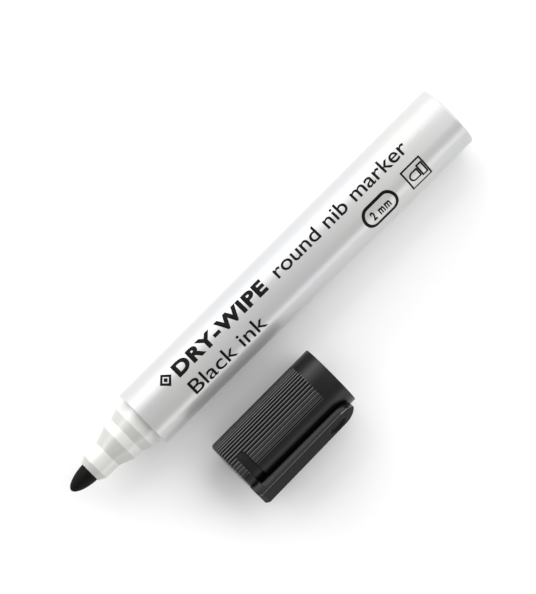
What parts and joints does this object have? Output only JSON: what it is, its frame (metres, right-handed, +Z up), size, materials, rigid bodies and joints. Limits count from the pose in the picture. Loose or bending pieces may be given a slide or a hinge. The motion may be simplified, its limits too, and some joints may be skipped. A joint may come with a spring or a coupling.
{
  "type": "whiteboard marker",
  "caption": "Round whiteboard marker with a bullet felt nib and a stepped nib holder, its ribbed cap with pocket clip lying beside the barrel.",
  "frame": {"origin": "middle of the bottom of the bounding box of the marker and its cap, on the surface they lie on", "axes": "+X along the barrel from the nib to the tail, +Z up, +Y from the cap towards the barrel"},
  "size_m": [0.131, 0.0452, 0.0173],
  "materials": {
    "barrel_plastic": "pearly silver-white, satin",
    "plug_plastic": "light grey, satin",
    "holder_plastic": "slightly translucent ivory white, smooth",
    "nib_felt": "pressed felt soaked with black ink",
    "reservoir_fibre": "bundled fibre soaked with black ink",
    "reservoir_film": "clear thin film",
    "cap_plastic": "black moulded plastic, finely textured satin",
    "liner_plastic": "dark soft plastic"
  },
  "bodies": {
    "pen": {"barrel": "barrel_plastic", "end_plug": "plug_plastic", "nib_holder": "holder_plastic", "nib": "nib_felt", "ink_reservoir": "reservoir_fibre", "reservoir_wrap": "reservoir_film"},
    "cap": {"cap_shell": "cap_plastic", "cap_liner": "liner_plastic"},
    "clip": {"cap_clip": "cap_plastic"}
  },
  "joints": [
    {"name": "cap_slide", "type": "slide", "parent": "pen", "child": "cap", "axis": [-1, 0, 0], "range_m": [0, 0.068]},
    {"name": "clip_flex", "type": "hinge", "parent": "cap", "child": "clip", "pos_m": [-0.0327, -0.01842, 0.01209], "axis": [0, -0.4339, -0.901], "range_deg": [0, 4], "stiffness_Nm_per_rad": 0.05}
  ]
}
